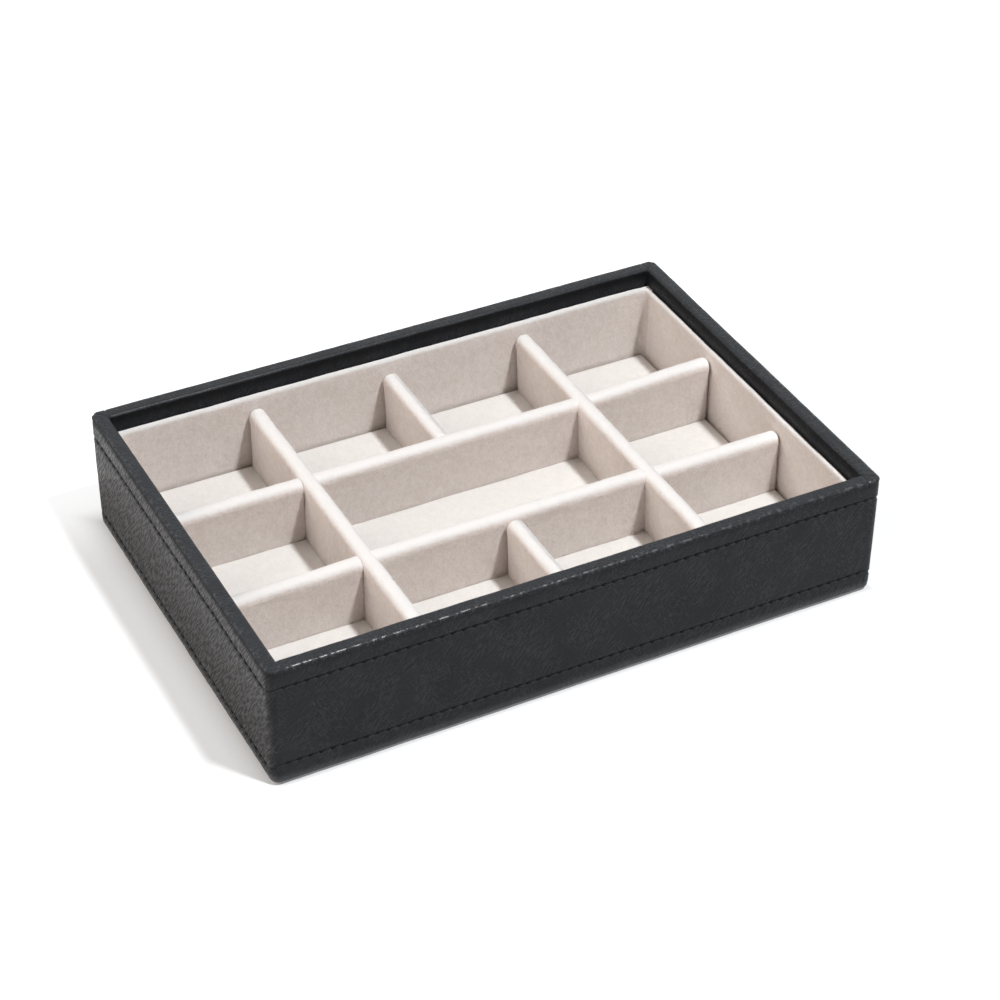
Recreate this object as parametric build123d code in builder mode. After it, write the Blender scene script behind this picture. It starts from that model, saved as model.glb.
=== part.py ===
from build123d import *
import os

# Shallow leather-covered jewellery tray with a velvet lining and crossed dividers.
# Millimetres, +Z up, X along the long side. The origin is the centre of the footprint, at the surface
# that the tray stands on.

# Whole tray
tray_length = 180.0
tray_width = 125.0
tray_height = 38.0

# Leather covering of the walls
leather_thickness = 0.8
upright_corner_radius = 2.6
foot_edge_radius = 2.0
rim_outer_radius = 0.7
rim_inner_radius = 1.0
inner_turn_depth = 16.0
under_turn_width = 12.0

# Boards of the box
wall_board_thickness = 2.7
base_board_thickness = 3.0

# Felt sheet under the base
underside_thickness = 0.8
underside_inset = 4.0

# Two sewn lines round the outside
stitch_line_inset = 6.0
stitch_pitch = 3.1
stitch_length = 2.3
thread_width = 0.5
channel_width = 0.8
channel_depth = 0.3

# Lining boards that stand inside the walls
lining_drop = 5.7
lining_card_thickness = 0.9
lining_velvet_thickness = 0.6
lining_edge_radius = 0.55

# Padded floor
floor_card_thickness = 1.2
floor_foam_thickness = 2.0
floor_velvet_thickness = 0.7
floor_clearance = 0.2

# Dividers
divider_height = 19.2
divider_core_thickness = 2.4
divider_velvet_thickness = 1.0
divider_ridge_radius = 1.5
divider_end_radius = 2.4
divider_end_gap = 0.3
slot_clearance = 0.25
column_count = 4
row_count = 3

# Overrun of cuts that pass right through
overrun = 2.0

# Levels, from the table upwards
leather_bottom = underside_thickness
base_bottom = leather_bottom + leather_thickness
base_top = base_bottom + base_board_thickness
floor_card_top = base_top + floor_card_thickness
floor_foam_top = floor_card_top + floor_foam_thickness
floor_top = floor_foam_top + floor_velvet_thickness
divider_top = floor_top + divider_height
lining_top = tray_height - lining_drop
board_top = tray_height - leather_thickness

# Plan sizes, from the outside inwards
board_length = tray_length - 2 * leather_thickness
board_width = tray_width - 2 * leather_thickness
board_corner_radius = upright_corner_radius - leather_thickness
rim_width = wall_board_thickness + 2 * leather_thickness
well_length = tray_length - 2 * rim_width
well_width = tray_width - 2 * rim_width
lining_thickness = lining_card_thickness + lining_velvet_thickness
clear_length = well_length - 2 * lining_thickness
clear_width = well_width - 2 * lining_thickness
floor_length = clear_length - 2 * floor_clearance
floor_width = clear_width - 2 * floor_clearance

# Places of the dividers: equal compartments
divider_thickness = divider_core_thickness + 2 * divider_velvet_thickness
column_pitch = (clear_length + divider_thickness) / column_count
row_pitch = (clear_width + divider_thickness) / row_count
slot_width = divider_thickness + 2 * slot_clearance

os.makedirs("parts", exist_ok=True)


def write_part(piece, name):
    """Labels one finished piece and writes its file."""
    piece.label = name
    export_step(piece, f"parts/{name}.step")


# Base board, with the edge that the leather folds round
with BuildPart() as base_board:
    with BuildSketch(Plane.XY.offset(base_bottom)):
        RectangleRounded(board_length, board_width, board_corner_radius)
    extrude(amount=base_board_thickness)
    fillet(base_board.faces().sort_by(Axis.Z)[0].edges(), foot_edge_radius - leather_thickness)
write_part(base_board.part, "base_board")

# Front and back boards run the full length and carry the rounded upright corners
for name, side in (("front_board", -1), ("back_board", 1)):
    with BuildPart() as long_board:
        with BuildSketch(Plane.XY.offset(base_top)):
            RectangleRounded(board_length, board_width, board_corner_radius)
            with Locations((0, side * (board_width - wall_board_thickness) / 2)):
                Rectangle(board_length, wall_board_thickness, mode=Mode.INTERSECT)
        extrude(amount=board_top - base_top)
    write_part(long_board.part, name)

# Left and right boards stand between them
for name, side in (("left_board", -1), ("right_board", 1)):
    with BuildPart() as end_board:
        with BuildSketch(Plane.XY.offset(base_top)):
            with Locations((side * (board_length - wall_board_thickness) / 2, 0)):
                Rectangle(wall_board_thickness, board_width - 2 * wall_board_thickness)
        extrude(amount=board_top - base_top)
    write_part(end_board.part, name)

# Leather: up the outside, over the rim, down inside it, and a little way under the base
with BuildPart() as leather_wrap:
    with BuildSketch(Plane.XY.offset(leather_bottom)):
        RectangleRounded(tray_length, tray_width, upright_corner_radius)
    extrude(amount=tray_height - leather_bottom)
    fillet(leather_wrap.faces().sort_by(Axis.Z)[0].edges(), foot_edge_radius)
    fillet(leather_wrap.faces().sort_by(Axis.Z)[-1].edges(), rim_outer_radius)
    # room for the walls, and for everything inside them
    with BuildSketch(Plane.XY.offset(base_top)):
        RectangleRounded(board_length, board_width, board_corner_radius)
    extrude(amount=board_top - base_top, mode=Mode.SUBTRACT)
    # room for the base board
    add(base_board.part, mode=Mode.SUBTRACT)
    # the flap that hangs down inside the rim
    with BuildSketch(Plane.XY.offset(tray_height - inner_turn_depth)):
        Rectangle(well_length + 2 * leather_thickness, well_width + 2 * leather_thickness)
    extrude(amount=board_top - tray_height + inner_turn_depth)
    # the well, open at the top
    with BuildSketch(Plane.XY.offset(tray_height - inner_turn_depth)):
        Rectangle(well_length, well_width)
    extrude(amount=inner_turn_depth + overrun, mode=Mode.SUBTRACT)
    # the opening under the base, inside the turned edge
    with BuildSketch(Plane.XY.offset(leather_bottom - overrun)):
        Rectangle(tray_length - 2 * under_turn_width, tray_width - 2 * under_turn_width)
    extrude(amount=leather_thickness + overrun, mode=Mode.SUBTRACT)
    # the softly rounded inner edge of the rim
    fillet(leather_wrap.faces().sort_by(Axis.Z)[-1].inner_wires()[0].edges(), rim_inner_radius)
    # the pressed-in channels of the two sewn lines
    for level in (stitch_line_inset, tray_height - stitch_line_inset):
        with BuildSketch(Plane.XY.offset(level)):
            Rectangle(tray_length + 2 * overrun, tray_width + 2 * overrun)
            RectangleRounded(
                tray_length - 2 * channel_depth,
                tray_width - 2 * channel_depth,
                upright_corner_radius - channel_depth,
                mode=Mode.SUBTRACT,
            )
        extrude(amount=channel_width / 2, both=True, mode=Mode.SUBTRACT)
write_part(leather_wrap.part, "leather_wrap")

# Thread: separate stitches lying in each channel, on all four sides
long_side_stitches = int((tray_length - 2 * upright_corner_radius) / stitch_pitch)
short_side_stitches = int((tray_width - 2 * upright_corner_radius) / stitch_pitch)
for name, level in (("bottom_stitching", stitch_line_inset), ("top_stitching", tray_height - stitch_line_inset)):
    with BuildPart() as stitching:
        for side in (-1, 1):
            face_y = side * (tray_width / 2 - channel_depth)
            with BuildSketch(Plane(origin=(0, face_y, level), x_dir=(1, 0, 0), z_dir=(0, side, 0))):
                with GridLocations(stitch_pitch, 0, long_side_stitches, 1):
                    SlotOverall(stitch_length, thread_width)
            extrude(amount=channel_depth)
            face_x = side * (tray_length / 2 - channel_depth)
            with BuildSketch(Plane(origin=(face_x, 0, level), x_dir=(0, 1, 0), z_dir=(side, 0, 0))):
                with GridLocations(stitch_pitch, 0, short_side_stitches, 1):
                    SlotOverall(stitch_length, thread_width)
            extrude(amount=channel_depth)
    write_part(stitching.part, name)

# Felt sheet that the tray stands on: over the turned leather, and up against the base board inside it
with BuildPart() as underside_sheet:
    with BuildSketch(Plane.XY):
        Rectangle(tray_length - 2 * underside_inset, tray_width - 2 * underside_inset)
    extrude(amount=underside_thickness)
    with BuildSketch(Plane.XY.offset(underside_thickness)):
        Rectangle(tray_length - 2 * under_turn_width, tray_width - 2 * under_turn_width)
    extrude(amount=leather_thickness)
write_part(underside_sheet.part, "underside_sheet")

# Lining of each wall: a card, and velvet over its face and top edge
lining_plan = {
    "front": (Plane(origin=(0, -well_width / 2, base_top), x_dir=(0, 1, 0), z_dir=(1, 0, 0)), well_length),
    "back": (Plane(origin=(0, well_width / 2, base_top), x_dir=(0, -1, 0), z_dir=(-1, 0, 0)), well_length),
    "left": (Plane(origin=(-well_length / 2, 0, base_top), x_dir=(1, 0, 0), z_dir=(0, -1, 0)), clear_width),
    "right": (Plane(origin=(well_length / 2, 0, base_top), x_dir=(-1, 0, 0), z_dir=(0, 1, 0)), clear_width),
}
lining_height = lining_top - base_top
card_height = lining_height - lining_velvet_thickness
for wall, (section_plane, run) in lining_plan.items():
    with BuildPart() as lining_card:
        with BuildSketch(section_plane):
            Rectangle(lining_card_thickness, card_height, align=(Align.MIN, Align.MIN))
        extrude(amount=run / 2, both=True)
    write_part(lining_card.part, f"{wall}_lining_card")

    with BuildPart() as lining_velvet:
        with BuildSketch(section_plane) as velvet_section:
            Rectangle(lining_thickness, lining_height, align=(Align.MIN, Align.MIN))
            fillet(velvet_section.vertices().group_by(Axis.Z)[-1], lining_edge_radius)
            Rectangle(
                lining_card_thickness, card_height, align=(Align.MIN, Align.MIN), mode=Mode.SUBTRACT
            )
        extrude(amount=run / 2, both=True)
    write_part(lining_velvet.part, f"{wall}_lining_velvet")

# Padded floor: card, foam, and velvet over the top and the edges
core_length = floor_length - 2 * floor_velvet_thickness
core_width = floor_width - 2 * floor_velvet_thickness
for name, bottom, thickness in (
    ("floor_card", base_top, floor_card_thickness),
    ("floor_foam", floor_card_top, floor_foam_thickness),
):
    with BuildPart() as floor_layer:
        with BuildSketch(Plane.XY.offset(bottom)):
            Rectangle(core_length, core_width)
        extrude(amount=thickness)
    write_part(floor_layer.part, name)

with BuildPart() as floor_velvet:
    with BuildSketch(Plane.XY.offset(base_top)):
        Rectangle(floor_length, floor_width)
    extrude(amount=floor_top - base_top)
    with BuildSketch(Plane.XY.offset(base_top)):
        Rectangle(core_length, core_width)
    extrude(amount=floor_foam_top - base_top, mode=Mode.SUBTRACT)
write_part(floor_velvet.part, "floor_velvet")

# Dividers: name, centre, direction, length, slot places along it, and whether the slots open upwards
half_height = divider_height / 2
long_run = clear_width - 2 * divider_end_gap
cross_run = clear_length - 2 * divider_end_gap
short_run = row_pitch - divider_thickness - 2 * divider_end_gap
row_slots = (-row_pitch / 2, row_pitch / 2)
column_slots = (-column_pitch, column_pitch)
divider_plan = (
    ("long_divider_left", (-column_pitch, 0), (0, 1, 0), long_run, row_slots, False),
    ("long_divider_right", (column_pitch, 0), (0, 1, 0), long_run, row_slots, False),
    ("cross_divider_back", (0, row_pitch / 2), (1, 0, 0), cross_run, column_slots, True),
    ("cross_divider_front", (0, -row_pitch / 2), (1, 0, 0), cross_run, column_slots, True),
    ("short_divider_back", (0, row_pitch), (0, 1, 0), short_run, (), False),
    ("short_divider_front", (0, -row_pitch), (0, 1, 0), short_run, (), False),
)
for name, (middle_x, middle_y), direction, run, slot_places, opens_up in divider_plan:
    along = Vector(direction)
    face = Plane(origin=(middle_x, middle_y, floor_top), x_dir=along, z_dir=along.cross(Vector(0, 0, 1)))
    slot_foot = half_height if opens_up else -slot_clearance
    slot_height = half_height + slot_clearance

    with BuildPart() as divider_core:
        with BuildSketch(face) as core_outline:
            Rectangle(
                run - 2 * divider_velvet_thickness,
                divider_height - divider_velvet_thickness,
                align=(Align.CENTER, Align.MIN),
            )
            fillet(
                core_outline.vertices().group_by(Axis.Z)[-1],
                divider_end_radius - divider_velvet_thickness,
            )
        extrude(amount=divider_core_thickness / 2, both=True)
    whole_core = divider_core.part

    with BuildPart() as divider_velvet:
        with BuildSketch(face) as velvet_outline:
            Rectangle(run, divider_height, align=(Align.CENTER, Align.MIN))
            fillet(velvet_outline.vertices().group_by(Axis.Z)[-1], divider_end_radius)
        extrude(amount=divider_thickness / 2, both=True)
        broad_faces = divider_velvet.faces().sort_by(Axis(face.origin, face.z_dir))
        ridge_edges = broad_faces[0].edges() + broad_faces[-1].edges()
        foot_edges = divider_velvet.faces().sort_by(Axis.Z)[0].edges()
        fillet([edge for edge in ridge_edges if edge not in foot_edges], divider_ridge_radius)
        add(whole_core, mode=Mode.SUBTRACT)
        for place in slot_places:
            with BuildSketch(face):
                with Locations((place, slot_foot)):
                    Rectangle(slot_width, slot_height, align=(Align.CENTER, Align.MIN))
            extrude(amount=divider_thickness, both=True, mode=Mode.SUBTRACT)
    write_part(divider_velvet.part, f"{name}_velvet")

    with BuildPart() as slotted_core:
        add(whole_core)
        for place in slot_places:
            with BuildSketch(face):
                with Locations((place, slot_foot)):
                    Rectangle(slot_width, slot_height, align=(Align.CENTER, Align.MIN))
            extrude(amount=divider_thickness, both=True, mode=Mode.SUBTRACT)
    write_part(slotted_core.part, f"{name}_core")
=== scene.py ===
import math

import bmesh
import bpy
import numpy as np
from bpy.props import FloatProperty, FloatVectorProperty, PointerProperty
from mathutils import Matrix, Vector


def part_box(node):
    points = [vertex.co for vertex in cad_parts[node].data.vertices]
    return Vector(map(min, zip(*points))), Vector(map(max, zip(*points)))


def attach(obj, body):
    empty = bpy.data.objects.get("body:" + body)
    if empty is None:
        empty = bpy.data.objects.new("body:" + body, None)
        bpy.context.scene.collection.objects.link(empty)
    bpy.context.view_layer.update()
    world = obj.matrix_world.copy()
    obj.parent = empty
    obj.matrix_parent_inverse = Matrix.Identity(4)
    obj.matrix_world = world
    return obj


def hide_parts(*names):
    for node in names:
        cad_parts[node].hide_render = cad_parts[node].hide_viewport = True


bl_info = {
    "name": "Velvet-lined leather tray",
    "version": (1, 0, 0),
    "blender": (4, 5, 0),
    "location": "View3D > Sidebar > Tray",
    "description": "Dresses the packed tray: leather cover, sewn lines, velvet linings, dividers and padded floor",
    "category": "Add Mesh",
}

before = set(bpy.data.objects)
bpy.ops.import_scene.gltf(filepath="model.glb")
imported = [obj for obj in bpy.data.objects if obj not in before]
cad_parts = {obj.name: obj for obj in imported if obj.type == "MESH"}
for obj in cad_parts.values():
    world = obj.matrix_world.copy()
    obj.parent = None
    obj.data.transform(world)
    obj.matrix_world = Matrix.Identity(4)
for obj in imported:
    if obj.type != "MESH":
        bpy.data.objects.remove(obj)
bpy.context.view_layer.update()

MM = 0.001
HAIR = 0.01 * MM  # the least difference in place that counts
PROUD = 0.1 * MM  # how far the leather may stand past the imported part's box
HOLE = 0.37  # how far a needle hole is from its stitch's middle, in pitches
BODY = "root"
WALLS = ("front", "back", "left", "right")
# How far each divider stands to the right of (or behind) the middle of its card at the foot, how much farther at
# the ridge, and how high its pile stands over the card's velvet at the start and end of each run, in mm.
STANCE = {
    "long_divider_left": (0.0, 0.15, ((1.0, 1.0),)),
    "long_divider_right": (-0.35, -0.6, ((1.0, 1.0),)),
    "cross_divider_back": (-0.1, -0.2, ((0.6, 0.6), (0.6, 0.6), (0.6, 2.0))),
    "cross_divider_front": (0.1, 0.3, ((-0.4, 0.5), (0.85, 0.85), (0.3, 0.1))),
    "short_divider_back": (-0.6, -0.6, ((0.5, 0.5),)),
    "short_divider_front": (-0.6, -0.6, ((0.7, 0.7),)),
}
DIVIDERS = tuple(STANCE)
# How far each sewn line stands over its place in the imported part, on the front and back and on the sides, in mm.
LINE_SHIFT = {"bottom": (1.0, -1.2), "top": (0.0, -1.2)}
# Which velvet colours, a lighter copy painted as painted light, show where the surface looks up, from what height
# of its normal, and by how much a face that looks sideways is painted lighter, as painted light.
VELVETS = {
    "lining_velvet": ("painted_crest", -0.1, 1.08),
    "divider_velvet": ("painted_crest", 0.35, 1.04),
    "floor_velvet": ("floor", 0.35, 1.0),
}
# Light and dark colour, fibres to a metre, roughness, and depth of the fibres' relief.
FIBRES = {
    "greyboard": ((0.36, 0.34, 0.31), (0.20, 0.19, 0.175), 260.0, 0.9, 0.1 * MM),
    "lining_card": ((0.62, 0.60, 0.56), (0.45, 0.43, 0.40), 420.0, 0.8, 0.04 * MM),
    "underside_felt": ((0.05, 0.05, 0.052), (0.015, 0.015, 0.016), 450.0, 0.95, 0.2 * MM),
}
# Place and tint of each lamp.
LAMPS = {"key": ((0.28, -0.55, 1.22), (0.98, 0.99, 1.0)), "side": ((-1.00, 0.36, 0.80), (1.0, 0.925, 0.865))}


def span(node):
    """Lowest and highest corner of a node's box, as two rows of numbers in metres."""
    return np.array([tuple(corner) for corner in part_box(node)])


COVER = span("leather_wrap")
RIM_WIDTH = COVER[1, 1] + span("front_lining_card")[0, 1]
LEATHER = COVER[1, 1] + span("front_board")[0, 1]
LINE_LEVEL = {name: span(f"{name}_stitching")[:, 2].mean() for name in LINE_SHIFT}


def amount(name, default, description, **kind):
    """A number, for a property group."""
    return FloatProperty(name=name, description=description, default=default, **kind)


def length(name, default, description):
    """A length, its default given in millimetres."""
    return amount(name, default * MM, description, precision=5, subtype="DISTANCE", unit="LENGTH")


def bearing(name, default, description):
    """An angle in radians."""
    return amount(name, default, description, subtype="ANGLE")


def colour(name, default, description):
    """A linear colour."""
    return FloatVectorProperty(
        name=name, description=description, default=default, size=3, min=0, max=1, subtype="COLOR"
    )


def share(name, default, description):
    """A plain number from 0 upwards."""
    return amount(name, default, description, min=0)


class LeatherSizes(bpy.types.PropertyGroup):
    """Sizes and colours of the leather cover."""

    upright_radius: length("Upright corner", 2.6, "Radius of the four upright corners")
    foot_radius: length("Foot edge", 0.7, "Radius of the edge at the table")
    foot_lean: length("Foot lean", 0.3, "How far the wall draws in at the foot")
    foot_reach: length("Foot reach", 3.4, "Height over which it draws in")
    rim_outer_radius: length("Rim outer edge", 1.1, "Radius of the outer edge of the rim")
    rim_inner_radius: length("Rim inner edge", 1.0, "Radius of the inner edge of the rim")
    flap_depth: length("Inner flap", 16, "Depth to which the leather hangs inside the rim")
    under_turn: length("Turned edge", 12, "Width of leather turned under the base")
    groove_depth: length("Groove depth", 0.5, "Depth that the sewn lines are pulled in")
    groove_width: length("Groove width", 0.36, "Half width of the pulled-in groove")
    groove_spread: share("Groove spread", 0.6, "How much wider and deeper the groove is on the sides")
    pillow_depth: length("Pillow depth", 0.09, "How far the leather slopes in towards a sewn line")
    pillow_reach: length("Pillow reach", 1.5, "Distance over which it slopes")
    dark: colour("Leather", (0.0076, 0.009, 0.0113), "Colour in the hollows of the grain")
    light: colour("Leather, raised", (0.0413, 0.0465, 0.0535), "Colour on the raised grain")


class ThreadSizes(bpy.types.PropertyGroup):
    """Sizes and colour of the sewn lines."""

    pitch: length("Pitch", 3.1, "Distance from one stitch to the next")
    stitch: length("Stitch length", 1.75, "Length of one stitch between its needle holes")
    thickness: length("Thread", 0.7, "Thickness of the thread")
    depth: length("Thread depth", 0.32, "Depth of the thread's middle under the leather")
    slant: bearing("Slant", math.radians(9), "Angle of each stitch to its line")
    dark: colour("Thread", (0.004, 0.004, 0.0045), "Colour of the waxed thread")


class VelvetSizes(bpy.types.PropertyGroup):
    """Sizes and colours of the velvet linings, dividers and floor."""

    card: length("Lining card", 0.9, "Thickness of the card behind the lining")
    pile: length("Velvet", 0.6, "Thickness of velvet over the top of the card")
    lining_radius: length("Lining edge", 0.8, "Depth of the rounding of the lining's top edge")
    lining_over: length("Lining edge, upright", 1.5, "Height of that rounding")
    lining_lift: length("Lining lift", 0.2, "How far the pile stands over the lining's top edge")
    corner_radius: length("Lining corner", 2.2, "Radius of the velvet in the four upright inner corners")
    ridge_radius: length("Divider ridge", 2.6, "Depth over which a divider's top rounds over")
    ridge_far: length("Divider ridge, far side", 1.2, "The same depth on the side that faces right or back")
    ridge_trim: length("Ridge trim", 0.3, "How much less that side stands out")
    ridge_plump: length("Ridge plumpness", 0.25, "How far a ridge bulges out to each side")
    end_radius: length("Divider end", 1.5, "Radius of a long or cross divider's top corners, from the side")
    short_end: length("Short divider end", 2.2, "Radius of a short divider's top corners, from the side")
    end_press: length("End press", 0.3, "How far the dividers press into the linings")
    end_plump: length("Divider end, in plan", 1.7, "Depth over which a divider's end rounds over")
    joint_radius: length("Joint", 0.6, "Radius of a divider's top corner at the right of a run, at a joint")
    joint_plump: length("Joint, in plan", 0.4, "Depth over which a divider rounds over at such a joint")
    joint_press: length("Joint press", 0.25, "How far the right of a run presses into the divider that it meets")
    joint_tight: length("Tight joint", 0.7, "The same two lengths at the left of a run, where the velvets meet")
    joint_lap: length("Joint lap", 1.3, "How far the left of a run goes into the divider that it meets")
    sink: length("Sink", 0.45, "Depth that the dividers press into the floor")
    floor_roll: length("Floor edge", 0.8, "Radius of the floor pad's edge")
    floor_swell: length("Floor swell", 1.05, "Height to which the floor's padding lifts the velvet")
    wobble: length("Unevenness", 0.11, "Unevenness of the hand-covered surfaces")
    light: colour("Velvet, brushed", (0.785, 0.728, 0.698), "Colour of an upright face where the pile catches light")
    dark: colour("Velvet, deep", (0.70, 0.635, 0.595), "Colour of an upright face between the tufts of the pile")
    # Painted light: the crest colours and the floor colours are lighter copies of the velvet's colours, painted where
    # the surface looks up.
    painted_crest_light: colour("Crest, brushed", (0.957, 0.968, 0.976), "Colour of ridges where the pile catches light")
    painted_crest_dark: colour("Crest, deep", (0.96, 0.95, 0.935), "Colour of ridges between the tufts")
    floor_light: colour("Floor, brushed", (0.895, 0.888, 0.87), "Colour of the floor where the pile catches light")
    floor_dark: colour("Floor, deep", (0.85, 0.838, 0.815), "Colour of the floor between the tufts")


class StageSizes(bpy.types.PropertyGroup):
    """Camera, lamps and floor."""

    heading: bearing("Heading", 0.4770192376, "Camera's turn from +Y towards +X")
    tilt: bearing("Tilt", 0.643485920, "Camera's tilt below the horizon")
    roll: bearing("Roll", -0.006488567, "Camera's roll")
    stand_off: length("Stand-off", 755.154, "Distance of the camera from its aim")
    aim_right: length("Aim right", -5.65955, "Place of the tray's centre in the view, to the right")
    aim_down: length("Aim down", 15.34398, "Place of the tray's centre in the view, downwards")
    lens: share("Lens", 96.52695, "Focal length in mm on a 36 mm sensor")
    key_watts: share("Key lamp", 14.0, "Power of the key lamp, high at the front right, in watts")
    key_size: length("Key lamp size", 110, "Side of the square key lamp")
    side_watts: share("Side lamp", 9.0, "Power of the broad lamp, low at the left, in watts")
    side_size: length("Side lamp size", 1000, "Side of the square side lamp")
    fill: share("Fill", 0.08, "Strength of the even light from all round")
    floor: share("Floor", 0.8, "Brightness of the floor as the tray sees it")
    shadow_lift: share("Shadow lift", 0.27, "How far the floor's shadow is lightened for the camera")


# ---- Surfaces ----


def line(start, end, count):
    """Points from start towards end, evenly spaced, the end left out."""
    step = np.linspace(0, 1, count, endpoint=False)[:, None]
    return np.array(start) + (np.array(end) - np.array(start)) * step


def arc(centre, radius, first, last, count):
    """Points of an arc about a centre, from one angle to another in degrees, the last left out."""
    turn = np.radians(np.linspace(first, last, count, endpoint=False))
    return np.array(centre) + radius * np.stack([np.cos(turn), np.sin(turn)], 1)


def soft_noise(x, y, cell, seed):
    """Smooth random height from -1 to 1: random values on a square lattice, each blended into the next with
    the smoothstep of the place inside the cell."""
    lattice, start = 67, 1000
    values = np.random.default_rng(seed).uniform(-1, 1, (lattice, lattice))
    across, up = x / cell + start, y / cell + start
    i, j = np.floor(across).astype(int), np.floor(up).astype(int)
    s, t = across - i, up - j
    s, t = s * s * (3 - 2 * s), t * t * (3 - 2 * t)
    low, high = (
        values[i % lattice, k % lattice] * (1 - s) + values[(i + 1) % lattice, k % lattice] * s for k in (j, j + 1)
    )
    return low * (1 - t) + high * t


def bell(distance, width):
    """Bell curve: 1 at no distance, falling to a third at the width."""
    return np.exp(-((distance / width) ** 2))


def round_over(depth, radius, fullness=2.0):
    """Share of the full thickness at a depth from an edge: a quarter of a superellipse of the given fullness."""
    return (1 - (1 - np.clip(depth / radius, 0, 1)) ** fullness) ** (1 / fullness)


def crowded(start, end, radius, ends, spacing):
    """Places from start to end: crowded by a cosine over the radius at each end, evenly spaced between."""
    curve = radius * (1 - np.cos(np.linspace(0, math.pi / 2, ends, endpoint=False)))
    count = max(int((end - start - 2 * radius) / spacing), 1)
    return np.concatenate([start + curve, np.linspace(start + radius, end - radius, count + 1), (end - curve)[::-1]])


def walked_round(points):
    """Distance walked along a closed line to each of its points, and back to the first."""
    return np.concatenate([[0], np.cumsum(np.linalg.norm(np.roll(points, -1, 0) - points, axis=1))])


def faces_round(halves):
    """The four outside faces, counter-clockwise from the front, for half lengths along X and Y: the ways along and
    out of each, half its length, and how far it stands from the middle."""
    for quarter in range(4):
        turn = quarter * math.pi / 2
        along, out = (math.cos(turn), math.sin(turn)), (math.sin(turn), -math.cos(turn))
        yield np.array(along), np.array(out), halves[quarter % 2], halves[1 - quarter % 2]


def surface_piece(name, grids, finish, weld=False, chart=None):
    """Mesh of one or more grids of points (rows, columns, 3). Each grid is (points, round the rows, round the
    columns, caps): a cell is one face, a round grid joins its last line to its first, and caps close the first
    and last column. Faces point outwards, because a grid whose enclosed volume is negative is turned round.
    Points that meet are joined by weld."""
    vertices, faces, charts, start = [], [], [], 0
    for points, around, along, caps in grids:
        rows, columns = points.shape[:2]
        number = np.arange(rows * columns).reshape(rows, columns)
        r = np.arange(rows if around else rows - 1)
        c = np.arange(columns if along else columns - 1)
        corners = [(r, c), (r, c + 1), (r + 1, c + 1), (r + 1, c)]
        quads = np.stack([number[np.ix_(i % rows, j % columns)] for i, j in corners], -1).reshape(-1, 4)
        flat = points.reshape(-1, 3)
        first, second, third, fourth = (flat[quads[:, k]] for k in range(4))
        volume = (np.cross(first, second) * third).sum() + (np.cross(first, third) * fourth).sum()
        way = -1 if volume < 0 else 1
        faces.extend((quads[:, ::way] + start).tolist())
        if chart is not None:
            mapped = np.stack([chart[np.ix_(i, j)] for i, j in corners], 2).reshape(-1, 4, 2)
            charts.append(mapped[:, ::way].reshape(-1, 2))
        if caps:
            faces.extend((cap[::way] + start).tolist() for cap in (number[::-1, 0], number[:, -1]))
        vertices.append(flat)
        start += len(flat)
    mesh = bpy.data.meshes.new(name)
    mesh.from_pydata(np.concatenate(vertices).tolist(), [], faces)
    if chart is not None:
        layer = mesh.uv_layers.new(name="cover")
        layer.data.foreach_set("uv", np.concatenate(charts).astype(np.float32).ravel())
    if weld:
        cleaner = bmesh.new()
        cleaner.from_mesh(mesh)
        bmesh.ops.remove_doubles(cleaner, verts=cleaner.verts, dist=0.001 * MM)
        cleaner.to_mesh(mesh)
        cleaner.free()
    mesh.polygons.foreach_set("use_smooth", np.ones(len(mesh.polygons), bool))
    mesh.materials.append(finish)
    piece = bpy.data.objects.new(name, mesh)
    bpy.context.scene.collection.objects.link(piece)
    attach(piece, BODY)
    return piece


def stitch_places(half_run, pitch):
    """Centres of the stitches of one side, spread evenly about its middle."""
    count = int(2 * half_run / pitch)
    return (np.arange(count) - (count - 1) / 2) * pitch


def line_level(name, aside):
    """Height of a sewn line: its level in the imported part, and a shift from that of the front to that of the sides."""
    ahead, beside = LINE_SHIFT[name]
    return (ahead + (beside - ahead) * aside) * MM + LINE_LEVEL[name]


def cover_columns(sizes, thread):
    """Columns of the leather cover, counter-clockwise from the front left. Each has a base point on the rectangle
    through the centres of the corner arcs, the way outwards, the distance walked round the outline, and the
    place in its stitch, from -0.5 to 0.5. Beside each corner is a stretch of evenly spaced columns."""
    radius, stretch = sizes.upright_radius, 4.5 * MM
    bases, outs, phases = [], [], []
    turn = np.linspace(0, math.pi / 2, 10)[1:-1, None]
    for along, out, run, depth in faces_round(COVER[1, :2] - radius):
        centres = stitch_places(run, thread.pitch)
        places = (centres[:, None] + np.array([-HOLE, -0.15, 0.15, HOLE, 0.5]) * thread.pitch).ravel()
        places = places[np.abs(places) < run - stretch - 0.2 * MM]
        corner = np.linspace(run - stretch, run, 15)
        places = np.concatenate([-corner[::-1], places, corner])
        phase = ((places - centres[0]) / thread.pitch + 0.5) % 1 - 0.5
        bases += [along * places[:, None] + out * depth, np.repeat([along * run + out * depth], len(turn), 0)]
        outs += [np.repeat([out], len(places), 0), out * np.cos(turn) + along * np.sin(turn)]
        phases += [phase, np.full(len(turn), 0.5)]
    base, out = np.concatenate(bases), np.concatenate(outs)
    return base, out, walked_round(base + out * radius), np.concatenate(phases)


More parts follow.
